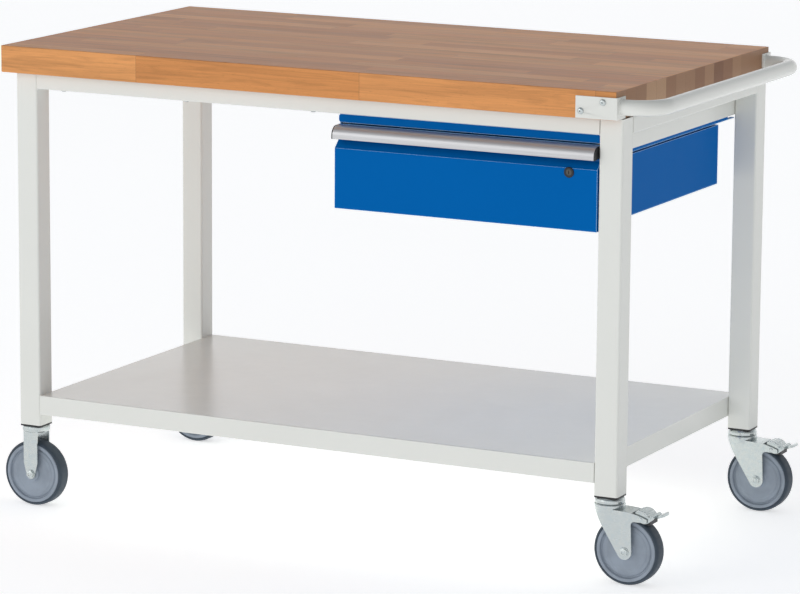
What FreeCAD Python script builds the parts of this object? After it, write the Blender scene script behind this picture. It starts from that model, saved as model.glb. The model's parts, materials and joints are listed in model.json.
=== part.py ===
import FreeCAD, Part
import math
import os

# Mobile workbench: glued beech worktop on a welded square-tube frame with a folded
# sheet-steel shelf, one drawer hung under the right half of the top, a tubular push
# handle on the right end, two fixed castors on the left and two braked swivel castors
# on the right. X runs along the bench (left is -X), Y across it (the front is -Y),
# Z is up and the floor is Z = 0. Pieces are drawn about the middle of the worktop and
# moved at the end so that the origin is the bottom centre of the whole bench.

V = FreeCAD.Vector

# ---- worktop and frame -----------------------------------------------------------------
top_length = 1250.0
top_depth = 700.0
top_thick = 50.0
top_edge_round = 1.5
bench_height = 880.0
frame_inset_left = 20.0        # worktop overhang past the legs on the left end
frame_proud_right = 5.0        # the frame stands this far past the worktop on the right end
frame_inset_front = 20.0       # the same overhang at the front and at the back
leg_size = 45.0
leg_corner = 4.0
tube_wall = 2.0
rail_height = 30.0
rail_depth = 30.0
rail_corner = 2.5

# ---- shelf -------------------------------------------------------------------------------
shelf_rise = 59.0              # shelf surface above the foot of the legs
shelf_lip = 37.0
shelf_return = 15.0
shelf_sheet = 1.5

# ---- castors -----------------------------------------------------------------------------
wheel_diameter = 125.0
tread_width = 32.0
tread_thick = 6.0
tread_crown = 14.0             # width of the tread's flat crown
tread_shoulder = 3.5           # drop of the rounded shoulders
wheel_headroom = 30.0          # from the top of the wheel to the foot of the leg's insert
disc_rim_width = 30.0
disc_rim_height = 6.5
disc_groove_width = 3.5
disc_groove_depth = 5.0        # below the rim
disc_web_width = 24.0
insert_flange = 3.0
insert_depth = 35.0
insert_clearance = 0.05
stem_radius = 6.0
stem_length = 40.0
castor_trail = 38.0
fork_gap = 40.0                # between the fork's two plates
fork_sheet = 2.5
hub_side_gap = 0.5
hub_radius = 15.0
axle_radius = 4.0
axle_clearance = 0.05
bearing_wall = 2.0
bolt_head_radius = 7.5
bolt_head_height = 4.0
bolt_end = 1.5                 # thread past the nut
cup_radius = 27.0
cup_height = 9.5
race_gap = 1.0
race_height = 8.5
race_round = 2.0
kingpin_radius = 8.0
kingpin_clearance = 0.06
crown_thick = 5.0
rivet_rim = 4.0                # head of the king pin past its shank
rivet_height = 4.0
fork_foot = 14.0               # half width of the fork's plates at the axle
fork_tail = 12.0               # fork behind the pedal's pin
fork_heel_angle = 207.0        # where the leaning front edge meets the foot
fork_pad = 5.0                 # depth of the arm below the pedal's pin
strap_thick = 3.6
strap_reach = 12.0             # top strap behind the axle
fixed_fork_width = 30.0
fixed_fork_neck = 22.0         # above the axle, where the plates start to taper
fixed_fork_foot = 9.5
fixed_cup_radius = 26.0
fixed_cup_round = 3.0
fixed_cup_sink = 2.0           # strap below the cup
pedal_reach = 110.0            # from the swivel axis to the tip of the brake pedal
pedal_pivot_angle = 64.0       # of the pivot round the axle, above the level
pedal_over_tread = 5.9
pedal_pin_radius = 3.0
pedal_pin_clearance = 0.05
pin_head_rim = 1.5
pin_head_height = 1.2
pedal_side_gap = 1.5
pedal_sheet = 2.5

# ---- drawer ------------------------------------------------------------------------------
drawer_side_gap = 2.0          # between the drawer front and the leg beside it
front_width = 516.0
front_proud = 1.0              # the panel stands this far in front of the legs
front_height = 109.5           # flat part of the panel
front_drop = 201.5             # worktop underside to the panel's lower edge
slope_back = 15.0              # depth of the finger recess
slope_rise = 14.0
front_top_rise = 42.0          # from the fold to the top edge behind the grip
front_sheet = 1.2
front_thick = 17.8
front_window_rim = 12.0
front_lap = 2.0                # back of the panel above the recess
side_inset = 3.0               # box side behind the end of the panel
box_lift = 6.5                 # box bottom above the panel's lower edge
box_shoulder = 8.0             # box shoulder above the panel's fold
box_sheet = 1.2
slide_width = 12.7
slide_height = 30.0
slide_sheet = 1.2
slide_play = 1.8               # ball gap above and below each nested member
slide_lift = 6.0               # slide above the box shoulder
neck_below_slide = 3.0         # top of the box neck below the top of the slide
slide_start_gap = 7.0          # from the box front to the front of the slides
slide_flange = 10.0
slide_web_gap = 1.6            # between the webs of the outer and the middle member
slide_tip_gap = 1.0            # from a member's tips to the web they point at
slide_inner_tip_gap = 1.5
slide_middle_shorter = 10.0    # than the outer member
slide_inner_shorter = 5.0
hanger_sheet = 1.5
hanger_drop = 2.0              # below the rails
hanger_over_shoulder = 4.0     # clearance over the box shoulder
strip_height = 15.0
strip_corner = 5.0
strip_flange = 30.0
hanger_flange = 12.0
hanger_rear_gap = 69.0         # from the hanger to the back of the frame
slide_shorter = 32.0           # than the hanger
box_shorter = 43.0             # than the hanger
hanger_lip = 7.5
hanger_tail = 30.0
carrier_sheet = 2.5
carrier_height = 73.0
carrier_flange = 25.0
grip_radius = 17.0
grip_reach = 11.0              # from the recess to the middle of the quarter round
grip_top_gap = 1.0
grip_drop = 6.0                # straight lower edge of the grip
grip_wall = 2.2
grip_back = 21.0               # height of the leg that is fixed to the panel
grip_cap = 2.0
lock_from_end = 54.0
lock_below_fold = 7.5
lock_radius = 8.0
lock_ring = 9.5
lock_ring_proud = 2.0
plug_radius = 5.5
plug_clearance = 0.05
plug_sink = 0.4                # face of the plug behind the ring
key_slot = 1.2
key_slot_height = 6.4
key_slot_depth = 6.0
spindle_step = 2.0             # spindle thinner than the plug
spindle_end = 2.0              # past the cam
cam_gap = 2.0                  # behind the box front
cam_side_gap = 0.5
cam_length = 62.0
cam_width = 14.0
cam_sheet = 2.0

# ---- push handle and fasteners -----------------------------------------------------------
handle_diameter = 28.0
handle_wall = 2.0
handle_reach = 81.0            # outermost point past the end of the worktop
handle_bend = 55.0             # radius of the tube's centre line
handle_rise = 22.0             # centre line above the worktop's underside
handle_edge = 18.0             # centre line inside the worktop's long edge
bracket_length = 79.0
bracket_height = 39.0
bracket_side = 34.0
bracket_sheet = 3.0
bracket_lift = 1.0
screw_radius = 2.5
screw_head_radius = 6.0
screw_head_height = 3.5
screw_recess = 1.8
bracket_screw_far = (10.0, 12.5)     # from the bracket's far end, from its lower edge
bracket_screw_near = (24.0, 9.0)     # from the worktop's end, from its upper edge
bracket_screw_length = 30.0
wood_screw_bite = 30.0         # length of a worktop screw inside the wood
sheet_screw_length = 8.0

# ---- places worked out from the sizes above ------------------------------------------------
end_x = top_length / 2
side_y = top_depth / 2
under_z = bench_height - top_thick
frame_left = -end_x + frame_inset_left
frame_right = end_x + frame_proud_right
frame_y = side_y - frame_inset_front
wheel_radius = wheel_diameter / 2
castor_height = wheel_diameter + wheel_headroom
leg_foot_z = castor_height + insert_flange
shelf_top_z = leg_foot_z + shelf_rise
leg_left_x = frame_left + leg_size / 2
leg_right_x = frame_right - leg_size / 2
leg_y = frame_y - leg_size / 2
inner_left = frame_left + leg_size
inner_right = frame_right - leg_size
inner_y = frame_y - leg_size
rail_z = under_z - rail_height
fork_inner = fork_gap / 2
fork_outer = fork_inner + fork_sheet
hub_half = fork_inner - hub_side_gap
tread_inner = wheel_radius - tread_thick
pivot_radius = wheel_radius + pedal_over_tread
pedal_pivot_x = castor_trail + pivot_radius * math.cos(math.radians(pedal_pivot_angle))
pedal_pivot_z = wheel_radius + pivot_radius * math.sin(math.radians(pedal_pivot_angle))

front_right = inner_right - drawer_side_gap
front_left = front_right - front_width
panel_y = -frame_y - front_proud
panel_z = under_z - front_drop
fold_z = panel_z + front_height
recess_y = panel_y + slope_back
recess_z = fold_z + slope_rise
front_top_z = fold_z + front_top_rise
panel_back_y = panel_y + front_thick
hanger_length = frame_y - hanger_rear_gap - recess_y
slide_length = hanger_length - slide_shorter
drawer_depth = hanger_length - box_shorter
box_left = front_left + side_inset
box_right = front_right - side_inset
box_z = panel_z + box_lift
shoulder_z = fold_z + box_shoulder
box_back_y = panel_back_y + drawer_depth
carrier_left = front_left - drawer_side_gap
carrier_right = inner_right
hanger_left = carrier_left + carrier_sheet
hanger_right = carrier_right - carrier_sheet
hanger_top_z = rail_z - hanger_drop
slide_z = shoulder_z + slide_lift
slide_front_y = panel_back_y + front_sheet + slide_start_gap
slide_outer_left = hanger_left + hanger_sheet
slide_outer_right = hanger_right - hanger_sheet
neck_left = slide_outer_left + slide_width
neck_right = slide_outer_right - slide_width
lock_x = front_right - lock_from_end
lock_z = fold_z - lock_below_fold
cam_y = panel_back_y + box_sheet + cam_gap

handle_z = under_z + handle_rise
handle_y = side_y - handle_edge
handle_x = end_x + handle_reach - handle_diameter / 2
bracket_z = under_z + bracket_lift
bracket_screws = [
    (end_x - bracket_length + bracket_sheet + bracket_screw_far[0],
     bracket_z + bracket_screw_far[1]),
    (end_x - bracket_screw_near[0], bracket_z + bracket_height - bracket_screw_near[1]),
]

bench_left = leg_left_x - wheel_radius
bench_right = max(leg_right_x + pedal_reach,
                  leg_right_x + castor_trail + wheel_radius,
                  end_x + handle_reach)
to_origin = V(-(bench_left + bench_right) / 2, 0, 0)


# ---- drawing helpers -----------------------------------------------------------------------
def box(x0, x1, y0, y1, z0, z1):
    return Part.makeBox(x1 - x0, y1 - y0, z1 - z0, V(x0, y0, z0))


def rod(start, end, radius):
    start, end = V(*start), V(*end)
    return Part.makeCylinder(radius, (end - start).Length, start, end - start)


def outline(points):
    """Closed wire; a point given as ("arc", middle, end) is reached by an arc."""
    edges, here = [], points[0]
    for step in points[1:] + [points[0]]:
        if isinstance(step[0], str):
            edges.append(Part.Arc(V(*here), V(*step[1]), V(*step[2])).toShape())
            here = step[2]
        elif (V(*here) - V(*step)).Length > 1e-6:
            edges.append(Part.LineSegment(V(*here), V(*step)).toShape())
            here = step
    return Part.Wire(edges)


def lift(points, place):
    """Put 2-D points (and arcs of 2-D points) on a plane."""
    placed = []
    for step in points:
        if isinstance(step[0], str):
            placed.append(("arc", place(*step[1]), place(*step[2])))
        else:
            placed.append(place(*step))
    return placed


def prism_x(points, x0, x1):
    """Outline of (y, z) points, drawn out along X."""
    wire = outline(lift(points, lambda y, z: (x0, y, z)))
    return Part.Face(wire).extrude(V(x1 - x0, 0, 0))


def prism_y(points, y0, y1):
    """Outline of (x, z) points, drawn out along Y."""
    wire = outline(lift(points, lambda x, z: (x, y0, z)))
    return Part.Face(wire).extrude(V(0, y1 - y0, 0))


def prism_z(points, z0, z1):
    """Outline of (x, y) points, drawn out along Z."""
    wire = outline(lift(points, lambda x, y: (x, y, z0)))
    return Part.Face(wire).extrude(V(0, 0, z1 - z0))


def turned(points, axis="z", at=(0, 0, 0)):
    """Outline of (radius, along) points turned about an axis through a point."""
    def place(radius, along):
        return (radius, 0, along) if axis == "z" else (radius, along, 0)
    face = Part.Face(outline(lift(points, place)))
    direction = V(0, 0, 1) if axis == "z" else V(0, 1, 0)
    shape = face.revolve(V(0, 0, 0), direction, 360)
    shape.translate(V(*at))
    return shape


def round_edges(shape, radius, along):
    """Round the straight outer edges that run along one axis of the shape's box."""
    bounds = shape.BoundBox
    limits = {"x": (bounds.XMin, bounds.XMax), "y": (bounds.YMin, bounds.YMax),
              "z": (bounds.ZMin, bounds.ZMax)}
    across = [name for name in "xyz" if name != along]
    chosen = []
    for edge in shape.Edges:
        start, end = edge.Vertexes[0].Point, edge.Vertexes[-1].Point
        moves = {name: abs(getattr(end - start, name)) for name in "xyz"}
        on_corner = all(min(abs(getattr(start, name) - limit) for limit in limits[name]) < 1e-6
                        for name in across)
        if moves[along] > 1e-6 and all(moves[name] < 1e-6 for name in across) and on_corner:
            chosen.append(edge)
    return shape.makeFillet(radius, chosen)


def square_tube(x0, x1, y0, y1, z0, z1, along, wall, corner):
    """Hollow section with rounded corners, open at both ends."""
    outer = round_edges(box(x0, x1, y0, y1, z0, z1), corner, along)
    gap = {name: (0 if name == along else wall) for name in "xyz"}
    inner = box(x0 + gap["x"], x1 - gap["x"], y0 + gap["y"], y1 - gap["y"],
                z0 + gap["z"], z1 - gap["z"])
    inner = round_edges(inner, max(corner - wall, 0.5), along)
    return outer.cut(inner)


def mirror_y(shape):
    return shape.mirror(V(0, 0, 0), V(0, 1, 0))


def mirror_x(shape, middle):
    return shape.mirror(V(middle, 0, 0), V(1, 0, 0))


def pan_screw(seat, direction, length):
    """Screw with a domed head: the seat is the point where the head meets the sheet."""
    seat, direction = V(*seat), V(*direction)
    flat = screw_head_height * 0.4
    head = Part.makeCylinder(screw_head_radius, flat, seat, -direction)
    dome = Part.makeCone(screw_head_radius, screw_head_radius * 0.55, screw_head_height - flat,
                         seat - direction * flat, -direction)
    recess = Part.makeCylinder(screw_recess, screw_head_height * 0.6,
                               seat - direction * screw_head_height, direction)
    shank = Part.makeCylinder(screw_radius, length, seat, direction)
    return head.fuse(dome).fuse(shank).cut(recess).removeSplitter()


def screw_hole(seat, direction, length):
    return Part.makeCylinder(screw_radius, length, V(*seat), V(*direction))


# ---- frame ---------------------------------------------------------------------------------
drawer_middle = (front_left + front_right) / 2
front_screw_x = [inner_left + (carrier_left - inner_left) * part for part in (0.08, 0.5, 0.92)]
rear_screw_x = [inner_left + (inner_right - inner_left) * part for part in (0.04, 0.35, 0.65, 0.96)]
rail_screw_y = frame_y - rail_depth / 2
worktop_screws = [((x, -rail_screw_y, rail_z), (0, 0, 1)) for x in front_screw_x]
worktop_screws += [((x, rail_screw_y, rail_z), (0, 0, 1)) for x in rear_screw_x]
worktop_screw_length = rail_height + wood_screw_bite

shelf_screw_z = shelf_top_z - shelf_lip / 2
shelf_screws = []
for side in (-1, 1):
    for step in (-0.22, 0.22):
        y = side * leg_y + step * leg_size
        shelf_screws.append(((inner_left + shelf_sheet, y, shelf_screw_z), (-1, 0, 0)))
        shelf_screws.append(((inner_right - shelf_sheet, y, shelf_screw_z), (1, 0, 0)))

carrier_screw_z = under_z - carrier_height / 2
carrier_screws = []
for y in (-0.6 * frame_y, 0.0, 0.6 * frame_y):
    carrier_screws.append(((carrier_left, y, carrier_screw_z), (1, 0, 0)))
    carrier_screws.append(((carrier_right, y, carrier_screw_z), (-1, 0, 0)))
carrier_screw_length = carrier_sheet + hanger_sheet


def drill(shape, screws, length):
    for seat, direction in screws:
        shape = shape.cut(screw_hole(seat, direction, length))
    return shape


def worktop():
    slab = box(-end_x, end_x, -side_y, side_y, under_z, bench_height)
    slab = slab.makeFillet(top_edge_round, slab.Edges)
    slab = drill(slab, worktop_screws, worktop_screw_length)
    return drill(slab, handle_screw_places(), bracket_screw_length)


def leg(centre_x, centre_y):
    half = leg_size / 2
    tube = square_tube(centre_x - half, centre_x + half, centre_y - half, centre_y + half,
                       leg_foot_z, under_z, "z", tube_wall, leg_corner)
    return drill(tube, shelf_screws, sheet_screw_length)


def long_rail(side):
    y0, y1 = sorted((side * frame_y, side * (frame_y - rail_depth)))
    rail = square_tube(inner_left, inner_right, y0, y1, rail_z, under_z, "x",
                       tube_wall, rail_corner)
    return drill(rail, worktop_screws, worktop_screw_length)


def end_rail(x0):
    return square_tube(x0, x0 + rail_depth, -inner_y, inner_y, rail_z, under_z, "y",
                       tube_wall, rail_corner)


def drawer_carrier(left):
    """Angle between the front and rear rails that the drawer hangs from."""
    y = frame_y - rail_depth
    z0 = under_z - carrier_height
    web = box(carrier_right - carrier_sheet, carrier_right, -y, y, z0, under_z)
    flange = box(carrier_right - carrier_flange, carrier_right, -y, y,
                 under_z - carrier_sheet, under_z)
    carrier = web.fuse(flange).removeSplitter()
    if left:
        carrier = mirror_x(carrier, drawer_middle)
    return drill(carrier, carrier_screws, carrier_screw_length)


def lower_shelf():
    """Folded pan: the panel and its four lips, which meet along the folds."""
    z0 = shelf_top_z - shelf_lip
    inner_z = shelf_top_z - shelf_sheet
    pan = box(inner_left, inner_right, -frame_y, frame_y, z0, shelf_top_z)
    pan = round_edges(pan, shelf_sheet, "x")
    hollow = box(inner_left + shelf_sheet, inner_right - shelf_sheet,
                 -frame_y + shelf_sheet, frame_y - shelf_sheet, z0 + shelf_sheet, inner_z)
    mouth = box(inner_left + shelf_return, inner_right - shelf_return,
                -frame_y + shelf_return, frame_y - shelf_return, z0, inner_z)
    panel = box(inner_left + shelf_sheet, inner_right - shelf_sheet,
                -frame_y + shelf_sheet, frame_y - shelf_sheet, inner_z, shelf_top_z)
    lips = pan.cut(hollow).cut(mouth).cut(panel)
    front = lips.common(box(inner_left, inner_right, -frame_y, -frame_y + shelf_return,
                            z0, shelf_top_z))
    rear = mirror_y(front)
    ends = drill(lips.cut(front).cut(rear), shelf_screws, sheet_screw_length).Solids
    long_lips = [drill(lip, shelf_screws, sheet_screw_length) for lip in (front, rear)]
    return [panel] + long_lips + ends


def leg_insert(centre_x, centre_y):
    """Plastic plug that closes a leg and holds the castor's stem."""
    half = leg_size / 2
    flange = round_edges(box(centre_x - half, centre_x + half, centre_y - half, centre_y + half,
                             castor_height, leg_foot_z), leg_corner, "z")
    grip = half - tube_wall - insert_clearance
    plug = round_edges(box(centre_x - grip, centre_x + grip, centre_y - grip, centre_y + grip,
                           castor_height, leg_foot_z + insert_depth - shelf_screw_room()),
                       leg_corner - tube_wall, "z")
    stem = rod((centre_x, centre_y, castor_height),
               (centre_x, centre_y, castor_height + stem_length), stem_radius)
    return flange.fuse(plug).cut(stem).removeSplitter()


def shelf_screw_room():
    """How much shorter a plug is, so that it ends below the shelf screws."""
    top = leg_foot_z + insert_depth
    return max(0.0, top - (shelf_screw_z - screw_radius - 2.0))


# ---- push handle ---------------------------------------------------------------------------
def handle_screw_places():
    places = []
    for side in (-1, 1):
        for x, z in bracket_screws:
            places.append(((x, side * (side_y + bracket_sheet), z), (0, -side, 0)))
    return places


def handle_bracket(side):
    """Angle plate round the worktop's corner; the tube is welded to its short leg."""
    x0, x1 = end_x + bracket_sheet - bracket_length, end_x + bracket_sheet
    y0 = -side_y - bracket_sheet
    z1 = bracket_z + bracket_height
    long_plate = box(x0, x1, y0, -side_y, bracket_z, z1)
    short_plate = box(end_x, x1, y0, y0 + bracket_side + bracket_sheet, bracket_z, z1)
    plate = long_plate.fuse(short_plate).removeSplitter()
    if side > 0:
        plate = mirror_y(plate)
    return drill(plate, handle_screw_places(), bracket_screw_length)


def push_handle():
    """Round tube bent into a U, welded end-on to the two brackets."""
    start_x = end_x + bracket_sheet
    turn_x = handle_x - handle_bend
    turn_y = handle_y - handle_bend
    mid = handle_bend * math.sqrt(0.5)
    z = handle_z
    path = Part.Wire([
        Part.LineSegment(V(start_x, -handle_y, z), V(turn_x, -handle_y, z)).toShape(),
        Part.Arc(V(turn_x, -handle_y, z), V(turn_x + mid, -turn_y - mid, z),
                 V(handle_x, -turn_y, z)).toShape(),
        Part.LineSegment(V(handle_x, -turn_y, z), V(handle_x, turn_y, z)).toShape(),
        Part.Arc(V(handle_x, turn_y, z), V(turn_x + mid, turn_y + mid, z),
                 V(turn_x, handle_y, z)).toShape(),
        Part.LineSegment(V(turn_x, handle_y, z), V(start_x, handle_y, z)).toShape(),
    ])

    def along_path(radius):
        circle = Part.makeCircle(radius, V(start_x, -handle_y, z), V(1, 0, 0))
        return path.makePipeShell([Part.Wire(circle)], True, False)
    radius = handle_diameter / 2
    return along_path(radius).cut(along_path(radius - handle_wall))


# ---- castors, drawn with the stem on the Z axis ------------------------------------------------
def wheel_tread(x):
    half, crown = tread_width / 2, tread_crown / 2
    edge_r = wheel_radius - tread_shoulder
    bulge_r = wheel_radius - tread_shoulder * 0.3
    bulge_y = crown + (half - crown) * 0.62
    points = [(tread_inner, -half), (edge_r, -half),
              ("arc", (bulge_r, -bulge_y), (wheel_radius, -crown)),
              (wheel_radius, crown),
              ("arc", (bulge_r, bulge_y), (edge_r, half)), (tread_inner, half)]
    return turned(points, "y", (x, 0, wheel_radius))


def wheel_disc(x):
    bore = axle_radius + axle_clearance + bearing_wall
    rim, web = disc_rim_width / 2, disc_web_width / 2
    groove_outer = tread_inner - disc_rim_height
    groove_inner = groove_outer - disc_groove_width
    left = [(bore, -hub_half), (hub_radius - 2.0, -hub_half), (hub_radius + 4.0, -web),
            (groove_inner, -web), (groove_inner, disc_groove_depth - rim),
            (groove_outer, disc_groove_depth - rim), (groove_outer, -rim), (tread_inner, -rim)]
    right = [(radius, -along) for radius, along in reversed(left)]
    return turned(left + right, "y", (x, 0, wheel_radius))


def wheel_bearing(x):
    bore = axle_radius + axle_clearance
    sleeve = [(bore, -hub_half), (bore + bearing_wall, -hub_half),
              (bore + bearing_wall, hub_half), (bore, hub_half)]
    return turned(sleeve, "y", (x, 0, wheel_radius))


def axle_bolt(x):
    """Bolt and nut that clamp the fork and carry the wheel."""
    z = wheel_radius
    shank_end = fork_outer + bolt_head_height + bolt_end
    face = -fork_outer - bolt_head_height
    head = [(0, face), (bolt_head_radius - 1.5, face), (bolt_head_radius, face + 3.0),
            (bolt_head_radius, -fork_outer), (axle_radius, -fork_outer),
            (axle_radius, shank_end), (0, shank_end)]
    bolt = turned(head, "y", (x, 0, z))
    corners = [(x + bolt_head_radius * math.cos(math.radians(60 * k)),
                z + bolt_head_radius * math.sin(math.radians(60 * k))) for k in range(6)]
    nut = prism_y(corners, fork_outer, fork_outer + bolt_head_height)
    nut = nut.cut(rod((x, 0, z), (x, shank_end, z), axle_radius))
    return [bolt, nut]


def stem():
    return rod((0, 0, castor_height), (0, 0, castor_height + stem_length), stem_radius)


def fixed_fork():
    """Strap bent over the wheel under a round cup with the stem on top."""
    half, corner = fixed_fork_width / 2, fixed_cup_round
    cup_low = castor_height - cup_height - fixed_cup_sink
    neck = wheel_radius + fixed_fork_neck
    foot = fixed_fork_foot
    plate = [(-half, castor_height - corner), (-half, neck), (-foot, wheel_radius),
             ("arc", (0, wheel_radius - foot), (foot, wheel_radius)),
             (half, neck), (half, castor_height - corner)]
    strap = prism_y(plate, -fork_outer, fork_outer)
    room = box(-half, half, -fork_inner, fork_inner, 0, cup_low)
    bulge = corner * (1 - math.sqrt(0.5))
    cup = turned([(0, cup_low), (fixed_cup_radius - 2.0, cup_low),
                  (fixed_cup_radius, cup_low + 2.0), (fixed_cup_radius, castor_height - corner),
                  ("arc", (fixed_cup_radius - bulge, castor_height - bulge),
                   (fixed_cup_radius - corner, castor_height)), (0, castor_height)])
    bolt = rod((0, -fork_outer, wheel_radius), (0, fork_outer, wheel_radius), axle_radius)
    return strap.cut(room).fuse(cup).fuse(stem()).cut(bolt).removeSplitter()


def swivel_head():
    """Upper race with the stem above it and the riveted king pin below it."""
    low = castor_height - cup_height
    crown_low = low - race_gap - race_height - crown_thick
    rivet_top = crown_low - race_gap
    corner = cup_height * 0.6
    bulge = corner * (1 - math.sqrt(0.5))
    points = [(0, castor_height), (cup_radius - corner, castor_height),
              ("arc", (cup_radius - bulge, castor_height - bulge),
               (cup_radius, castor_height - corner)),
              (cup_radius, low), (kingpin_radius, low), (kingpin_radius, rivet_top),
              (kingpin_radius + rivet_rim, rivet_top),
              (kingpin_radius + rivet_rim - 1.0, rivet_top - rivet_height),
              (0, rivet_top - rivet_height)]
    return turned(points).fuse(stem()).removeSplitter()


def swivel_fork():
    """Pressed fork: two plates joined round the front, with the lower race on its crown."""
    race_top = castor_height - cup_height - race_gap
    race_low = race_top - race_height
    crown_low = race_low - crown_thick
    nose = cup_radius - 0.5
    tail = pedal_pivot_x + fork_tail
    axle_z = wheel_radius
    foot = fork_foot
    arm_z = pedal_pivot_z - fork_pad
    step_x = castor_trail + foot

    def plan(reach, half):
        return [(tail, -half), (0, -half), ("arc", (-reach, 0), (0, half)), (tail, half)]
    shell = prism_z(plan(nose, fork_outer), 0, race_low)
    shell = shell.cut(prism_z(plan(nose - fork_sheet, fork_inner), 0, race_low))
    lean = math.radians(fork_heel_angle)
    heel = (castor_trail + foot * math.cos(lean), axle_z + foot * math.sin(lean))
    side = [(-nose - 1.0, race_low), (-nose + 3.0, race_low - 2.0), heel,
            ("arc", (castor_trail, axle_z - foot), (step_x, axle_z)),
            (step_x - 2.0, arm_z - 7.0),
            ("arc", (step_x - 0.3, arm_z - 2.2), (step_x + 5.0, arm_z)),
            (tail, arm_z), (tail, pedal_pivot_z + 1.5),
            ("arc", (pedal_pivot_x - 4.0, race_low - 5.0), (castor_trail + 4.0, race_low - 1.0)),
            (cup_radius, race_low)]
    plates = shell.common(prism_y(side, -fork_outer, fork_outer))
    strap_end = castor_trail + strap_reach
    strap = prism_y([(0, race_low), (cup_radius, race_low), (castor_trail + 4.0, race_low - 1.0),
                     (strap_end, race_low - 2.2), (strap_end, race_low - 1.2 - strap_thick),
                     (castor_trail + 4.0, race_low - strap_thick), (0, race_low - strap_thick)],
                    -fork_outer, fork_outer)
    rim = cup_radius + 1.0
    crown = turned([(0, crown_low), (nose, crown_low), (nose, race_low),
                    (rim, race_low + race_round), (rim, race_top - race_round),
                    (rim - race_round, race_top), (0, race_top)])
    bore = rod((0, 0, 0), (0, 0, race_top), kingpin_radius + kingpin_clearance)
    bolt = rod((castor_trail, -fork_outer, axle_z), (castor_trail, fork_outer, axle_z), axle_radius)
    pin = rod((pedal_pivot_x, -fork_outer, pedal_pivot_z),
              (pedal_pivot_x, fork_outer, pedal_pivot_z), pedal_pin_radius)
    return plates.fuse(strap).fuse(crown).cut(bore).cut(bolt).cut(pin).removeSplitter()


def pedal_pin():
    head = pedal_pin_radius + pin_head_rim
    face = fork_outer + pin_head_height
    profile = [(0, -face), (head - 1.0, -face), (head, -fork_outer),
               (pedal_pin_radius, -fork_outer), (pedal_pin_radius, fork_outer),
               (head, fork_outer), (head - 1.0, face), (0, face)]
    return turned(profile, "y", (pedal_pivot_x, 0, pedal_pivot_z))


def brake_pedal():
    """Saddle over the tail of the fork that turns on its pin, with the foot tab behind."""
    half = fork_inner - pedal_side_gap
    px, pz = pedal_pivot_x, pedal_pivot_z
    t = pedal_sheet
    cover = prism_y([(px - 13, pz + 9), (px - 7, pz + 15), (px + 6, pz + 13.5), (px + 16, pz + 6.5),
                     (px + 24, pz + 5), (px + 40, pz + 11), (pedal_reach, pz + 9.8),
                     (px + 41, pz + 6), (px + 25, pz + 1.4), (px + 15, pz + 3.4),
                     (px + 5, pz + 13.5 - t), (px - 6, pz + 15 - t), (px - 11, pz + 8)],
                    -half, half)
    waist = [(px + 20, -half - 1), (px + 30, -half - 1), (px + 30, -half + 6), (px + 24, -half + 6)]
    cover = cover.cut(prism_z(waist, pz, pz + 30)).cut(mirror_y(prism_z(waist, pz, pz + 30)))
    cheek = prism_y([(px - 12, pz + 8.5), (px - 6, pz + 14), (px + 5, pz + 12.5), (px + 15, pz + 5.5),
                     (px + 20, pz + 3.5), (px + 18, pz - 1.5), (px + 12, pz - 6),
                     (px + 4, pz - 7), (px - 4, pz - 5)],
                    -half, -half + t)
    pedal = cover.fuse(cheek).fuse(mirror_y(cheek))
    bore = rod((px, -half, pz), (px, half, pz), pedal_pin_radius + pedal_pin_clearance)
    return pedal.cut(bore).removeSplitter()


def brake_shoe():
    """Rubber block that the pedal presses on the tread."""
    half = fork_inner - pedal_side_gap - pedal_sheet
    px, pz = pedal_pivot_x, pedal_pivot_z
    return prism_y([(px + 9, pz - 9.5), (px + 17, pz - 9), (px + 17, pz), (px + 10, pz)],
                   -half, half)


# ---- drawer --------------------------------------------------------------------------------
def slide_member(web_x, tip_x, inset, front_y, length):
    """Channel standing on edge: its web is at web_x and its flanges reach to tip_x."""
    z0, z1 = slide_z + inset, slide_z + slide_height - inset
    toward = 1 if tip_x > web_x else -1
    y1 = front_y + length
    x0, x1 = sorted((web_x, web_x + toward * slide_sheet))
    f0, f1 = sorted((web_x, tip_x))
    web = box(x0, x1, front_y, y1, z0, z1)
    low = box(f0, f1, front_y, y1, z0, z0 + slide_sheet)
    high = box(f0, f1, front_y, y1, z1 - slide_sheet, z1)
    return web.fuse(low).fuse(high).removeSplitter()


def slides():
    """Outer, middle and inner member of the right slide, in that order."""
    step = slide_sheet + slide_play
    outer_web, inner_web = slide_outer_right, neck_right
    outer = slide_member(outer_web, outer_web - slide_flange, 0, slide_front_y, slide_length)
    middle_web = outer_web - slide_sheet - slide_web_gap
    middle = slide_member(middle_web, inner_web + slide_sheet + slide_tip_gap, step,
                          slide_front_y, slide_length - slide_middle_shorter)
    inner = slide_member(inner_web, middle_web - slide_sheet - slide_inner_tip_gap, 2 * step,
                         slide_front_y, slide_length - slide_inner_shorter)
    return [outer, middle, inner]


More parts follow.
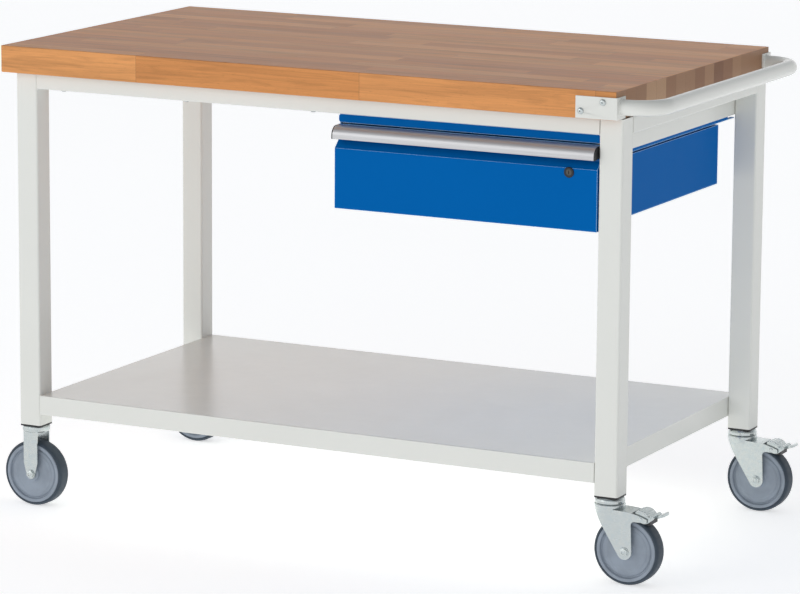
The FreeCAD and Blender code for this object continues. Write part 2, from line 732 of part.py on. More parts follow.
def drawer_hanger():
    """Frame of bent sheets screwed between the carriers: it holds the outer slides."""
    y0 = recess_y
    y1 = y0 + hanger_length
    top = hanger_top_z
    low = shoulder_z + hanger_over_shoulder
    t = hanger_sheet
    bulge = strip_corner * (1 - math.sqrt(0.5))
    strip = prism_y([(hanger_left, top - strip_corner),
                     ("arc", (hanger_left + bulge, top - bulge),
                      (hanger_left + strip_corner, top)),
                     (hanger_right - strip_corner, top),
                     ("arc", (hanger_right - bulge, top - bulge),
                      (hanger_right, top - strip_corner)),
                     (hanger_right, top - strip_height + strip_corner),
                     ("arc", (hanger_right - bulge,
                              top - strip_height + bulge),
                      (hanger_right - strip_corner, top - strip_height)),
                     (hanger_left + strip_corner, top - strip_height),
                     ("arc", (hanger_left + bulge,
                              top - strip_height + bulge),
                      (hanger_left, top - strip_height + strip_corner))], y0, y0 + t)
    flange = box(hanger_left + strip_corner, hanger_right - strip_corner,
                 y0 + t, y0 + strip_flange, top - t, top)
    web = box(hanger_right - t, hanger_right, y0 + strip_corner, y1 - t, low + t, top)
    ledge = box(hanger_right - hanger_flange, hanger_right - t, y0 + strip_flange, y1 - t,
                top - t, top)
    lip = box(hanger_right - hanger_lip, hanger_right, y0 + strip_corner, y1 + hanger_tail,
              low, low + t)
    side = [drill(web, carrier_screws, carrier_screw_length), ledge, lip]
    other_side = [mirror_x(sheet, drawer_middle) for sheet in side]
    tie = box(hanger_left, hanger_right, y1 - t, y1, top - strip_height, top)
    return [strip, flange, tie] + side + other_side


def drawer_front():
    """Folded panel with the sloping finger recess and the upright part behind the grip."""
    t = front_sheet
    y0, y1 = panel_y, panel_back_y
    outer = prism_x([(y0, panel_z), (y0, fold_z), (recess_y, recess_z), (recess_y, front_top_z),
                     (recess_y + t, front_top_z), (recess_y + t, recess_z + front_lap),
                     (y1, recess_z + front_lap), (y1, panel_z)], front_left, front_right)
    length = math.hypot(slope_back, slope_rise)
    off_y, off_z = t * slope_rise / length, -t * slope_back / length
    slope = slope_rise / slope_back

    def under_slope(y):
        return fold_z + off_z + (y - y0 - off_y) * slope
    cavity = prism_x([(y0 + t, panel_z + t), (y0 + t, under_slope(y0 + t)),
                      (y1 - t, under_slope(y1 - t)), (y1 - t, panel_z + t)],
                     front_left + t, front_right - t)
    rim = front_window_rim
    window = box(front_left + rim, front_right - rim, y1 - t, y1, panel_z + rim, fold_z)
    hole = rod((lock_x, y0, lock_z), (lock_x, y1, lock_z), lock_radius)
    return outer.cut(cavity).cut(window).cut(hole)


def drawer_box():
    """Spot-welded sheets; the sides step in at the shoulder to make room for the slides."""
    t = box_sheet
    y0, y1 = panel_back_y, box_back_y
    neck_z = slide_z + slide_height - neck_below_slide
    floor = box(box_left, box_right, y0, y1, box_z, box_z + t)
    front = box(box_left, box_right, y0, y0 + t, box_z + t, shoulder_z)
    front = front.cut(rod((lock_x, y0, lock_z), (lock_x, y0 + t, lock_z), lock_radius))
    back = box(box_left, box_right, y1 - t, y1, box_z + t, shoulder_z)
    side = prism_y([(box_right, box_z + t), (box_right, shoulder_z), (neck_right, shoulder_z),
                    (neck_right, neck_z), (neck_right - t, neck_z), (neck_right - t, shoulder_z - t),
                    (box_right - t, shoulder_z - t), (box_right - t, box_z + t)], y0 + t, y1 - t)
    return [floor, front, back, side, mirror_x(side, drawer_middle)]


grip_y = recess_y - grip_reach              # centre of the grip's quarter round
grip_z = front_top_z - grip_top_gap - grip_radius
grip_low_z = grip_z - grip_drop
grip_top_z = grip_z + grip_radius


def quarter_round(radius):
    """Middle and far end of the arc from the grip's top down to its front."""
    half = radius * math.sqrt(0.5)
    return "arc", (grip_y - half, grip_z + half), (grip_y - radius, grip_z)


def grip_profile():
    """Quarter-round aluminium grip with a straight lower edge and a fixing leg."""
    outer, inner = grip_radius, grip_radius - grip_wall
    tip = grip_wall / 2
    back_y = recess_y - grip_wall
    _, middle, _ = quarter_round(inner)
    points = [(recess_y, grip_top_z), (grip_y, grip_top_z), quarter_round(outer),
              (grip_y - outer, grip_low_z + tip),
              ("arc", (grip_y - outer + tip, grip_low_z), (grip_y - inner, grip_low_z + tip)),
              (grip_y - inner, grip_z), ("arc", middle, (grip_y, grip_z + inner)),
              (back_y, grip_z + inner), (back_y, grip_top_z - grip_back),
              (recess_y, grip_top_z - grip_back)]
    return prism_x(points, front_left + grip_cap, front_right - grip_cap)


def grip_end_caps():
    points = [(recess_y, grip_top_z), (grip_y, grip_top_z), quarter_round(grip_radius),
              (grip_y - grip_radius, grip_low_z), (recess_y, grip_top_z - grip_back)]
    left = prism_x(points, front_left, front_left + grip_cap)
    right = prism_x(points, front_right - grip_cap, front_right)
    return [left, right]


def lock_body():
    end_y = cam_y - cam_side_gap
    ring_y = panel_y - lock_ring_proud
    return turned([(plug_radius, ring_y), (lock_ring - 1.0, ring_y), (lock_ring, ring_y + 1.0),
                   (lock_ring, panel_y), (lock_radius, panel_y), (lock_radius, end_y),
                   (plug_radius, end_y)], "y", (lock_x, 0, lock_z))


def lock_cylinder():
    """Key plug with its slot, and the spindle that carries the cam."""
    r = plug_radius - plug_clearance
    half, high = key_slot / 2, key_slot_height / 2
    face_y = panel_y - lock_ring_proud + plug_sink
    end_y = cam_y + cam_sheet + spindle_end
    plug = rod((lock_x, face_y, lock_z), (lock_x, cam_y, lock_z), r)
    spindle = rod((lock_x, cam_y, lock_z), (lock_x, end_y, lock_z), r - spindle_step)
    slot = box(lock_x - half, lock_x + half, face_y, face_y + key_slot_depth,
               lock_z - high, lock_z + high)
    return plug.fuse(spindle).cut(slot).removeSplitter()


def lock_cam():
    """Flat bar that lies level when open and stands up behind the strip when locked."""
    half = cam_width / 2
    bar = prism_y([(lock_x, lock_z + half), (lock_x - cam_length, lock_z + half - 2.0),
                   (lock_x - cam_length, lock_z - half + 2.0), (lock_x, lock_z - half),
                   ("arc", (lock_x + half, lock_z), (lock_x, lock_z + half))],
                  cam_y, cam_y + cam_sheet)
    hole = rod((lock_x, cam_y, lock_z), (lock_x, cam_y + cam_sheet, lock_z),
               plug_radius - plug_clearance - spindle_step)
    return bar.cut(hole)


# ---- all nodes -----------------------------------------------------------------------------
def place(shape, x, y):
    placed = shape.copy()
    placed.translate(V(x, y, 0))
    return placed


def frame_nodes():
    corners = {"front_left": (leg_left_x, -leg_y), "front_right": (leg_right_x, -leg_y),
               "rear_left": (leg_left_x, leg_y), "rear_right": (leg_right_x, leg_y)}
    nodes = {"worktop": worktop(),
             "top_rail_front": long_rail(-1), "top_rail_rear": long_rail(1),
             "top_rail_left": end_rail(frame_left),
             "top_rail_right": end_rail(frame_right - rail_depth),
             "drawer_carrier_left": drawer_carrier(True),
             "drawer_carrier_right": drawer_carrier(False),
             "lower_shelf": lower_shelf()}
    for name, (x, y) in corners.items():
        nodes["leg_" + name] = leg(x, y)
    nodes["leg_inserts"] = [leg_insert(x, y) for x, y in corners.values()]
    nodes["worktop_screws"] = [pan_screw(seat, way, worktop_screw_length)
                               for seat, way in worktop_screws]
    nodes["shelf_screws"] = [pan_screw(seat, way, sheet_screw_length)
                             for seat, way in shelf_screws]
    nodes["drawer_hanger_screws"] = [pan_screw(seat, way, carrier_screw_length)
                                     for seat, way in carrier_screws]
    return nodes


def handle_nodes():
    return {"push_handle": push_handle(),
            "handle_bracket_front": handle_bracket(-1),
            "handle_bracket_rear": handle_bracket(1),
            "handle_bracket_screws": [pan_screw(seat, way, bracket_screw_length)
                                      for seat, way in handle_screw_places()]}


def castor_nodes():
    nodes = {}
    for end, y in (("front", -leg_y), ("rear", leg_y)):
        fixed, swivel = end + "_left", end + "_right"
        for name, x, trail in ((fixed, leg_left_x, 0.0), (swivel, leg_right_x, castor_trail)):
            nodes["wheel_tread_" + name] = place(wheel_tread(trail), x, y)
            nodes["wheel_disc_" + name] = place(wheel_disc(trail), x, y)
            nodes["wheel_bearing_" + name] = place(wheel_bearing(trail), x, y)
        nodes["castor_fork_" + fixed] = place(fixed_fork(), leg_left_x, y)
        nodes["axle_bolt_" + fixed] = [place(part, leg_left_x, y) for part in axle_bolt(0.0)]
        nodes["castor_head_" + swivel] = place(swivel_head(), leg_right_x, y)
        nodes["castor_fork_" + swivel] = place(swivel_fork(), leg_right_x, y)
        nodes["castor_bolts_" + swivel] = [place(part, leg_right_x, y)
                                           for part in axle_bolt(castor_trail) + [pedal_pin()]]
        nodes["brake_pedal_" + swivel] = place(brake_pedal(), leg_right_x, y)
        nodes["brake_shoe_" + swivel] = place(brake_shoe(), leg_right_x, y)
    return nodes


def drawer_nodes():
    nodes = {"drawer_hanger": drawer_hanger(), "drawer_front": drawer_front(),
             "drawer_box": drawer_box(), "grip_profile": grip_profile(),
             "grip_end_caps": grip_end_caps(), "lock_body": lock_body(),
             "lock_cylinder": lock_cylinder(), "lock_cam": lock_cam()}
    for name, member in zip(("outer", "middle", "inner"), slides()):
        nodes["slide_%s_right" % name] = member
        nodes["slide_%s_left" % name] = mirror_x(member, drawer_middle)
    return nodes


def all_nodes():
    nodes = {}
    for group in (frame_nodes(), handle_nodes(), castor_nodes(), drawer_nodes()):
        nodes.update(group)
    for name, shape in nodes.items():
        whole = Part.makeCompound(shape) if isinstance(shape, list) else shape
        whole = whole.copy()
        whole.translate(to_origin)
        nodes[name] = whole
    return nodes


os.makedirs("parts", exist_ok=True)
nodes = all_nodes()
for name, shape in nodes.items():
    shape.exportStep(os.path.join("parts", name + ".step"))
print(len(nodes), "nodes")
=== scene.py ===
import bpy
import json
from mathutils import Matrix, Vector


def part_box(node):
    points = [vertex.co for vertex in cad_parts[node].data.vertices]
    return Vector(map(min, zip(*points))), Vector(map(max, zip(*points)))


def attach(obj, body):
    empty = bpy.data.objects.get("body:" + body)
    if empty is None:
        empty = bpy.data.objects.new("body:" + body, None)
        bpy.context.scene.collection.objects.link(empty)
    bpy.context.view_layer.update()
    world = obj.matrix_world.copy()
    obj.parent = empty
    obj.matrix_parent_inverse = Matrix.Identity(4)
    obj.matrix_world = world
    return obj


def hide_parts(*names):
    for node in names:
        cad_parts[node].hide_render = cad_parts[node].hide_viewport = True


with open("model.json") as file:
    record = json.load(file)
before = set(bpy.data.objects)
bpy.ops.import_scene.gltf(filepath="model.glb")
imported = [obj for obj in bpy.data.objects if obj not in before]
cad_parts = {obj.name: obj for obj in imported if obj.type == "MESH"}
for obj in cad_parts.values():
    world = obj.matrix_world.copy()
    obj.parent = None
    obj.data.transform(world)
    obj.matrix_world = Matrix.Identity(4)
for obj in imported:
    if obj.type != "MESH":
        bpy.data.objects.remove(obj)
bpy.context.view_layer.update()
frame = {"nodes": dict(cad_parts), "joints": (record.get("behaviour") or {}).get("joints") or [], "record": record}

import json
import math
import random

import bmesh
import bpy
from mathutils import Matrix, Vector

# Mobile workbench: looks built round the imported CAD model. Metres, X along the bench
# (the push handle is at +X), the drawer front faces -Y, Z up, the floor is Z = 0.

MM = 0.001
nodes = frame["nodes"]
WHEELS = {"front_left": "wheel_front_left", "rear_left": "wheel_rear_left",
          "front_right": "wheel_front_right", "rear_right": "wheel_rear_right"}


# ---- materials -----------------------------------------------------------------------------
class Look:
    """A Principled material with short helpers for its node tree."""

    def __init__(self, name, **plain):
        self.material = bpy.data.materials.new(name)
        self.material.use_nodes = True
        self.tree = self.material.node_tree
        self.surface = self.tree.nodes["Principled BSDF"]
        for socket, value in plain.items():
            self.surface.inputs[socket.replace("_", " ")].default_value = value
        self.place = self.tree.nodes.new("ShaderNodeTexCoord").outputs["Object"]

    def put(self, value, socket):
        if isinstance(value, bpy.types.NodeSocket):
            self.tree.links.new(value, socket)
        else:
            socket.default_value = value

    def set(self, socket, value):
        self.put(value, self.surface.inputs[socket])

    def maths(self, operation, first, second=0.0, clamp=False):
        node = self.tree.nodes.new("ShaderNodeMath")
        node.operation, node.use_clamp = operation, clamp
        self.put(first, node.inputs[0])
        self.put(second, node.inputs[1])
        return node.outputs[0]

    def scaled(self, scale, offset=None):
        node = self.tree.nodes.new("ShaderNodeVectorMath")
        node.operation = "MULTIPLY_ADD"
        self.put(self.place, node.inputs[0])
        node.inputs[1].default_value = scale
        if offset is not None:
            self.put(offset, node.inputs[2])
        return node.outputs[0]

    def noise(self, scale, detail=2.0, roughness=0.5, vector=None, distortion=0.0):
        node = self.tree.nodes.new("ShaderNodeTexNoise")
        self.put(self.place if vector is None else vector, node.inputs["Vector"])
        node.inputs["Scale"].default_value = scale
        node.inputs["Detail"].default_value = detail
        node.inputs["Roughness"].default_value = roughness
        node.inputs["Distortion"].default_value = distortion
        return node.outputs["Fac"]

    def ramp(self, value, *stops):
        node = self.tree.nodes.new("ShaderNodeValToRGB")
        self.put(value, node.inputs["Fac"])
        elements = node.color_ramp.elements
        while len(elements) < len(stops):
            elements.new(0.5)
        for element, (position, colour) in zip(elements, stops):
            element.position = position
            if isinstance(colour, (int, float)):
                colour = (colour, colour, colour)
            element.color = (*colour, 1.0)
        return node.outputs["Color"]

    def mix(self, factor, first, second, mode="MIX"):
        node = self.tree.nodes.new("ShaderNodeMix")
        node.data_type, node.blend_type = "RGBA", mode
        self.put(factor, node.inputs[0])
        for value, socket in ((first, node.inputs[6]), (second, node.inputs[7])):
            self.put((*value, 1.0) if isinstance(value, tuple) else value, socket)
        return node.outputs[2]

    def bump(self, height, strength, distance):
        node = self.tree.nodes.new("ShaderNodeBump")
        node.inputs["Strength"].default_value = strength
        node.inputs["Distance"].default_value = distance
        self.put(height, node.inputs["Height"])
        self.put(node.outputs["Normal"], self.surface.inputs["Normal"])


def edge_highlight_share(look, radius, gain):
    """How strongly a point lies on a bend or edge, from 0 to 1: the mask of the painted edge highlight."""
    rounded_normal = look.tree.nodes.new("ShaderNodeBevel")
    rounded_normal.samples = 6
    rounded_normal.inputs["Radius"].default_value = radius
    flat = look.tree.nodes.new("ShaderNodeNewGeometry")
    node = look.tree.nodes.new("ShaderNodeVectorMath")
    node.operation = "DOT_PRODUCT"
    look.put(rounded_normal.outputs[0], node.inputs[0])
    look.put(flat.outputs["True Normal"], node.inputs[1])
    turn = look.maths("SUBTRACT", 0.996, node.outputs["Value"], clamp=True)
    return look.maths("MULTIPLY", turn, gain, clamp=True)


def powder_coat(name, colour, roughness, gloss, highlight_colour, highlight_gain):
    """Sprayed and baked coat: faint orange peel, and a painted highlight: a lighter colour mixed in over the edges
    and bends.
    """
    look = Look(name, Specular_IOR_Level=gloss)
    cloud = look.noise(3.0, 2.0)
    dark = tuple(value * 0.985 for value in colour)
    light = tuple(min(1.0, value * 1.01) for value in colour)
    base = look.ramp(cloud, (0.35, dark), (0.65, light))
    # painted highlight: bends and edges turn towards a lighter colour, standing in for light caught on them
    base = look.mix(edge_highlight_share(look, 1.3 * MM, highlight_gain), base, highlight_colour)
    look.set("Base Color", base)
    look.set("Roughness", look.ramp(look.noise(25.0, 2.0), (0.3, roughness - 0.02),
                                    (0.7, roughness + 0.02)))
    look.bump(look.noise(700.0, 1.0), 0.05, 0.0002)
    return look.material


def zinc_plate(name, colour, roughness):
    """Bright zinc on pressed steel: patchy passivation and fine rolling marks."""
    look = Look(name, Metallic=0.85)
    patches = look.noise(150.0, 5.0, 0.65)
    blue = (colour[0] * 0.90, colour[1] * 0.95, colour[2] * 0.98)
    warm = (colour[0] * 1.07, colour[1] * 1.06, colour[2] * 1.03)
    look.set("Base Color", look.ramp(patches, (0.3, blue), (0.55, colour), (0.75, warm)))
    marks = look.noise(60.0, 3.0, 0.6, look.scaled((1.0, 1.0, 14.0)))
    look.set("Roughness", look.ramp(marks, (0.3, roughness - 0.07), (0.7, roughness + 0.08)))
    look.bump(look.noise(700.0, 3.0), 0.10, 0.0002)
    return look.material


def moulded(name, colour, roughness, grain=1200.0, strength=0.15):
    """Moulded plastic or rubber with a fine eroded surface."""
    look = Look(name, Specular_IOR_Level=0.45)
    cloud = look.noise(30.0, 3.0)
    dark = tuple(value * 0.9 for value in colour)
    light = tuple(value * 1.08 for value in colour)
    look.set("Base Color", look.ramp(cloud, (0.35, dark), (0.65, light)))
    look.set("Roughness", look.ramp(look.noise(140.0, 3.0), (0.3, roughness - 0.06),
                                    (0.7, roughness + 0.06)))
    look.bump(look.noise(grain, 2.0), strength, 0.0002)
    return look.material


def anodised(name):
    """Extruded aluminium, satin anodised: fine die lines along the length."""
    look = Look(name, Metallic=0.8)
    lines = look.noise(1.0, 3.0, 0.7, look.scaled((4.0, 900.0, 900.0)))
    look.set("Base Color", look.ramp(lines, (0.3, (0.50, 0.50, 0.51)), (0.7, (0.62, 0.62, 0.63))))
    look.set("Roughness", look.ramp(lines, (0.3, 0.34), (0.7, 0.46)))
    look.bump(lines, 0.10, 0.0002)
    return look.material


def beech_staves(name):
    """Solid beech glued from staves along X: tone per stave, grain, flecks, end grain, and painted light: the
    upright faces lighter and more orange than the top.
    """
    look = Look(name, Specular_IOR_Level=0.25)
    stave_width, stave_length = 0.04375, 0.46
    apart = look.tree.nodes.new("ShaderNodeSeparateXYZ")
    look.put(look.place, apart.inputs[0])
    x, y, z = apart.outputs

    def chance(*parts):
        join = look.tree.nodes.new("ShaderNodeCombineXYZ")
        for value, socket in zip(parts, join.inputs):
            look.put(value, socket)
        node = look.tree.nodes.new("ShaderNodeTexWhiteNoise")
        node.noise_dimensions = "3D"
        look.put(join.outputs[0], node.inputs["Vector"])
        return node.outputs["Value"], node.outputs["Color"]

    across = look.maths("DIVIDE", look.maths("ADD", y, 8 * stave_width + 0.002), stave_width)
    lane = look.maths("FLOOR", across)
    lane_value, _ = chance(lane, 3.7, 1.3)
    along = look.maths("DIVIDE", x, stave_length)
    along = look.maths("ADD", along, look.maths("MULTIPLY", lane_value, 7.3))
    piece = look.maths("FLOOR", along)
    tone, spread = chance(lane, piece, 5.1)
    offset = look.tree.nodes.new("ShaderNodeVectorMath")
    offset.operation = "SCALE"
    look.put(spread, offset.inputs[0])
    offset.inputs["Scale"].default_value = 31.0
    offset = offset.outputs[0]

    base = look.ramp(tone, (0.0, (0.570, 0.215, 0.062)), (0.3, (0.625, 0.250, 0.072)),
                     (0.6, (0.665, 0.280, 0.084)), (0.85, (0.740, 0.335, 0.116)),
                     (1.0, (0.540, 0.198, 0.056)))
    facing = look.tree.nodes.new("ShaderNodeSeparateXYZ")
    geometry = look.tree.nodes.new("ShaderNodeNewGeometry")
    look.put(geometry.outputs["Normal"], facing.inputs[0])
    # painted light: upright faces get a lighter, more saturated ramp than the top, standing in for how light and
    # sheen fall on the top and the sides
    painted_lit_side_base = look.ramp(tone, (0.0, (0.640, 0.262, 0.080)), (0.3, (0.720, 0.310, 0.100)),
                          (0.6, (0.790, 0.355, 0.122)), (0.85, (0.880, 0.440, 0.175)),
                          (1.0, (0.680, 0.282, 0.088)))
    upright = look.maths("LESS_THAN", look.maths("ABSOLUTE", facing.outputs[2]), 0.7)
    base = look.mix(upright, base, painted_lit_side_base)
    swirl = look.noise(1.0, 3.0, 0.55, look.scaled((5.0, 70.0, 70.0), offset), 1.6)
    base = look.mix(1.0, base, look.ramp(swirl, (0.36, 0.86), (0.5, 1.0)), "MULTIPLY")
    figure = look.noise(1.0, 5.0, 0.6, look.scaled((1.6, 26.0, 26.0), offset), 0.8)
    streaks = look.ramp(figure, (0.30, 0.80), (0.50, 1.0), (0.72, 1.10))
    base = look.mix(1.0, base, streaks, "MULTIPLY")
    fibre = look.noise(1.0, 3.0, 0.6, look.scaled((9.0, 420.0, 420.0), offset))
    base = look.mix(1.0, base, look.ramp(fibre, (0.35, 0.93), (0.65, 1.04)), "MULTIPLY")
    fleck = look.noise(1.0, 2.0, 0.5, look.scaled((90.0, 900.0, 900.0), offset))
    base = look.mix(1.0, base, look.ramp(fleck, (0.62, 1.0), (0.74, 0.80)), "MULTIPLY")

    end_face = look.maths("GREATER_THAN", look.maths("ABSOLUTE", facing.outputs[0]), 0.7)
    ring_spread = look.tree.nodes.new("ShaderNodeSeparateXYZ")
    look.put(spread, ring_spread.inputs[0])
    from_edge = look.maths("MULTIPLY", look.maths("FRACT", across), stave_width)
    ring_y = look.maths("SUBTRACT", from_edge,
                        look.maths("MULTIPLY", ring_spread.outputs[0], 0.10))
    ring_z = look.maths("SUBTRACT", look.maths("SUBTRACT", z, 0.80),
                        look.maths("MULTIPLY", ring_spread.outputs[1], 0.05))
    far = look.maths("SQRT", look.maths("ADD", look.maths("MULTIPLY", ring_y, ring_y),
                                        look.maths("MULTIPLY", ring_z, ring_z)))
    wobble = look.maths("MULTIPLY", look.noise(60.0, 3.0), 0.004)
    rings = look.maths("SINE", look.maths("MULTIPLY", look.maths("ADD", far, wobble), 1900.0))
    end_tone = look.ramp(tone, (0.0, (0.290, 0.130, 0.065)), (0.3, (0.520, 0.295, 0.165)),
                         (0.6, (0.370, 0.180, 0.092)), (1.0, (0.620, 0.375, 0.215)))
    end_tone = look.mix(1.0, end_tone, look.ramp(rings, (0.0, 0.82), (1.0, 1.0)), "MULTIPLY")
    pores = look.noise(1500.0, 2.0)
    end_tone = look.mix(1.0, end_tone, look.ramp(pores, (0.45, 0.86), (0.6, 1.0)), "MULTIPLY")
    base = look.mix(end_face, base, end_tone)

    def seam(position, size):
        near = look.maths("FRACT", position)
        near = look.maths("MINIMUM", near, look.maths("SUBTRACT", 1.0, near))
        return look.maths("LESS_THAN", near, 0.0005 / size)
    glue = look.maths("MAXIMUM", seam(across, stave_width), seam(along, stave_length))
    base = look.mix(look.maths("MULTIPLY", glue, 0.45), base, (0.20, 0.09, 0.04))
    look.set("Base Color", base)
    look.set("Roughness", look.ramp(fibre, (0.3, 0.40), (0.7, 0.52)))
    look.bump(look.mix(0.5, fibre, figure), 0.10, 0.0003)
    return look.material


looks = {
    "beech": beech_staves("beech"),
    # last two values: painted highlight colour and its strength on edges (light corner lines on the frame,
    # light-blue fold lines on the drawer)
    "frame_paint": powder_coat("frame_paint", (0.775, 0.785, 0.745), 0.24, 0.5,
                               (0.90, 0.90, 0.87), 3.0),
    "drawer_paint": powder_coat("drawer_paint", (0.0, 0.122, 0.425), 0.40, 0.02,
                                (0.50, 0.76, 1.0), 16.0),
    "zinc": zinc_plate("zinc", (0.57, 0.61, 0.605), 0.22),
    "lock_metal": zinc_plate("lock_metal", (0.10, 0.095, 0.085), 0.38),
    "anodised_aluminium": anodised("anodised_aluminium"),
    "black_plastic": moulded("black_plastic", (0.014, 0.014, 0.016), 0.42),
    "wheel_grey": moulded("wheel_grey", (0.265, 0.310, 0.370), 0.36, 900.0, 0.08),
    "tread": moulded("tread", (0.036, 0.054, 0.076), 0.58, 600.0, 0.25),
    "bearing_nylon": moulded("bearing_nylon", (0.72, 0.71, 0.67), 0.40),
}
slot_of = {part["node"]: part["material_slot"] for part in frame["record"]["subparts"]}
for name, node in nodes.items():
    node.data.materials.clear()
    node.data.materials.append(looks[slot_of[name]])


# ---- mesh helpers --------------------------------------------------------------------------
def centre_of(node):
    low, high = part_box(node)
    return (Vector(low) + Vector(high)) / 2


def add_piece(name, mesh, slot, body, replaced=(), sharp=35.0):
    """Puts a finished mesh in the scene as a piece that rides on a body."""
    mesh.materials.clear()
    mesh.materials.append(looks[slot])
    for polygon in mesh.polygons:
        polygon.use_smooth = True
    mesh.set_sharp_from_angle(angle=math.radians(sharp))
    piece = bpy.data.objects.new(name, mesh)
    bpy.context.scene.collection.objects.link(piece)
    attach(piece, body)
    if replaced:
        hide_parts(*replaced)
    return piece


def lathe(profile, steps, closed=True):
    """bmesh of (radius, along) points turned about Y; radius 0 closes on the axis."""
    work = bmesh.new()
    rings = []
    for radius, along in profile:
        if radius < 1e-7:
            rings.append([work.verts.new((0, along, 0))] * steps)
            continue
        rings.append([work.verts.new((radius * math.cos(math.tau * k / steps), along,
                                      radius * math.sin(math.tau * k / steps)))
                      for k in range(steps)])
    pairs = list(zip(rings, rings[1:] + rings[:1])) if closed else list(zip(rings, rings[1:]))
    for first, second in pairs:
        for k in range(steps):
            corners = [first[k], first[(k + 1) % steps], second[(k + 1) % steps], second[k]]
            corners = list(dict.fromkeys(corners))
            if len(corners) > 2:
                work.faces.new(corners)
    bmesh.ops.recalc_face_normals(work, faces=work.faces)
    return work


def to_mesh(work, name):
    mesh = bpy.data.meshes.new(name)
    work.to_mesh(mesh)
    work.free()
    return mesh


def rounded(profile, radius, steps=3):
    """Rounds the corners of a closed (radius, along) outline."""
    result = []
    count = len(profile)
    for k, corner in enumerate(profile):
        here = Vector(corner)
        before, after = Vector(profile[k - 1]), Vector(profile[(k + 1) % count])
        back, on = before - here, after - here
        reach = min(radius, back.length * 0.45, on.length * 0.45)
        start, end = here + back.normalized() * reach, here + on.normalized() * reach
        for step in range(steps + 1):
            t = step / steps
            point = start * (1 - t) ** 2 + here * 2 * t * (1 - t) + end * t ** 2
            result.append((point.x, point.y))
    return result


def two_sided(half):
    """(radius, along) points of one side, given from bore to rim, mirrored to the other."""
    return [(r, -a) for r, a in half] + [(r, a) for r, a in reversed(half)]


# ---- wheels --------------------------------------------------------------------------------
def make_wheels():
    steps, corner = 112, 0.6 * MM
    # radius and distance from the middle plane, from the bore to the rim, in millimetres
    disc_side = [(6.05, 19.5), (13.2, 19.5), (14.6, 18.4), (15.6, 14.6), (18.8, 12.9), (34.0, 12.1),
                 (36.4, 12.6), (38.8, 12.5), (40.4, 11.7), (45.4, 11.6), (46.6, 10.2), (49.0, 10.2),
                 (50.3, 15.0), (55.2, 15.3), (56.4, 14.6)]
    tread_side = [(56.5, 14.9), (58.0, 15.7), (59.2, 15.3), (61.0, 13.6), (62.1, 10.8), (62.5, 7.0)]
    for place, body in WHEELS.items():
        middle = centre_of("wheel_tread_" + place)
        for part, slot, half in (("disc", "wheel_grey", disc_side), ("tread", "tread", tread_side)):
            profile = rounded([(r * MM, a * MM) for r, a in two_sided(half)], corner, 2)
            work = lathe(profile, steps)
            bmesh.ops.translate(work, verts=work.verts, vec=middle)
            name = "wheel_%s_%s" % (part, place)
            add_piece("look_" + name, to_mesh(work, name), slot, body, (name,), 50.0)


# ---- castor bolts and brake pedals ---------------------------------------------------------
def hexagon(flats, low, high, chamfer):
    """Hexagonal head or nut along Y with chamfered ends: a bmesh."""
    work = bmesh.new()
    apex = flats / math.sqrt(3)
    levels = [(low, apex - chamfer), (low + chamfer * 0.6, apex), (high - chamfer * 0.6, apex),
              (high, apex - chamfer)]
    rings = []
    for along, reach in levels:
        rings.append([work.verts.new((reach * math.cos(math.tau * k / 6 + 0.3), along,
                                      reach * math.sin(math.tau * k / 6 + 0.3)))
                      for k in range(6)])
    for first, second in zip(rings, rings[1:]):
        for k in range(6):
            work.faces.new([first[k], first[(k + 1) % 6], second[(k + 1) % 6], second[k]])
    work.faces.new(rings[0])
    work.faces.new(rings[-1])
    bmesh.ops.recalc_face_normals(work, faces=work.faces)
    return work


def join(work, other, place):
    """Adds another bmesh to a bmesh, moved to a place."""
    mesh = to_mesh(other, "part")
    count = len(work.verts)
    work.from_mesh(mesh)
    bpy.data.meshes.remove(mesh)
    work.verts.ensure_lookup_table()
    bmesh.ops.translate(work, verts=work.verts[count:], vec=place)


def axle_parts(work, axle, half):
    """Bolt with a recessed hexagonal head at the front and a domed lock nut behind."""
    washer = [(4.1, 0.0), (8.4, 0.0), (8.8, 0.3), (8.8, 0.9), (8.4, 1.2), (4.1, 1.2)]
    flats = 13 * MM
    join(work, hexagon(flats, -half - 4.0 * MM, -half - 0.4 * MM, 0.9 * MM), axle)
    stub = [(0, -half / MM - 3.0), (2.6, -half / MM - 3.1), (3.2, -half / MM - 4.6),
            (3.9, -half / MM - 4.4), (4.0, -half / MM - 3.9), (4.0, half / MM + 4.0),
            (3.6, half / MM + 4.9), (0, half / MM + 5.0)]
    join(work, lathe([(r * MM, a * MM) for r, a in stub], 36, closed=False), axle)
    join(work, hexagon(flats, half + 0.4 * MM, half + 3.9 * MM, 0.8 * MM), axle)
    for side in (-1, 1):
        ring = [(r * MM, side * (half + a * MM)) for r, a in washer]
        join(work, lathe(ring, 44), axle)


def make_bolts():
    fork_half, rivet_inset = 22.5 * MM, 4.5 * MM
    for place in WHEELS:
        axle = centre_of("wheel_tread_" + place)
        right = place.endswith("right")
        node = ("castor_bolts_" if right else "axle_bolt_") + place
        work = bmesh.new()
        axle_parts(work, axle, fork_half)
        if right:
            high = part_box(node)[1]
            pin = Vector((high[0] - rivet_inset, axle.y, high[2] - rivet_inset))
            rivet = [(0, -23.6), (2.6, -23.5), (4.0, -23.0), (4.4, -22.5), (3.0, -22.5),
                     (3.0, 22.5), (4.4, 22.5), (4.0, 23.0), (2.6, 23.5), (0, 23.6)]
            join(work, lathe([(r * MM, a * MM) for r, a in rivet], 28, closed=False), pin)
        ride = "swivel_" + place.split("_")[0] if right else "root"
        add_piece("look_" + node, to_mesh(work, node), "zinc", ride, (node,))


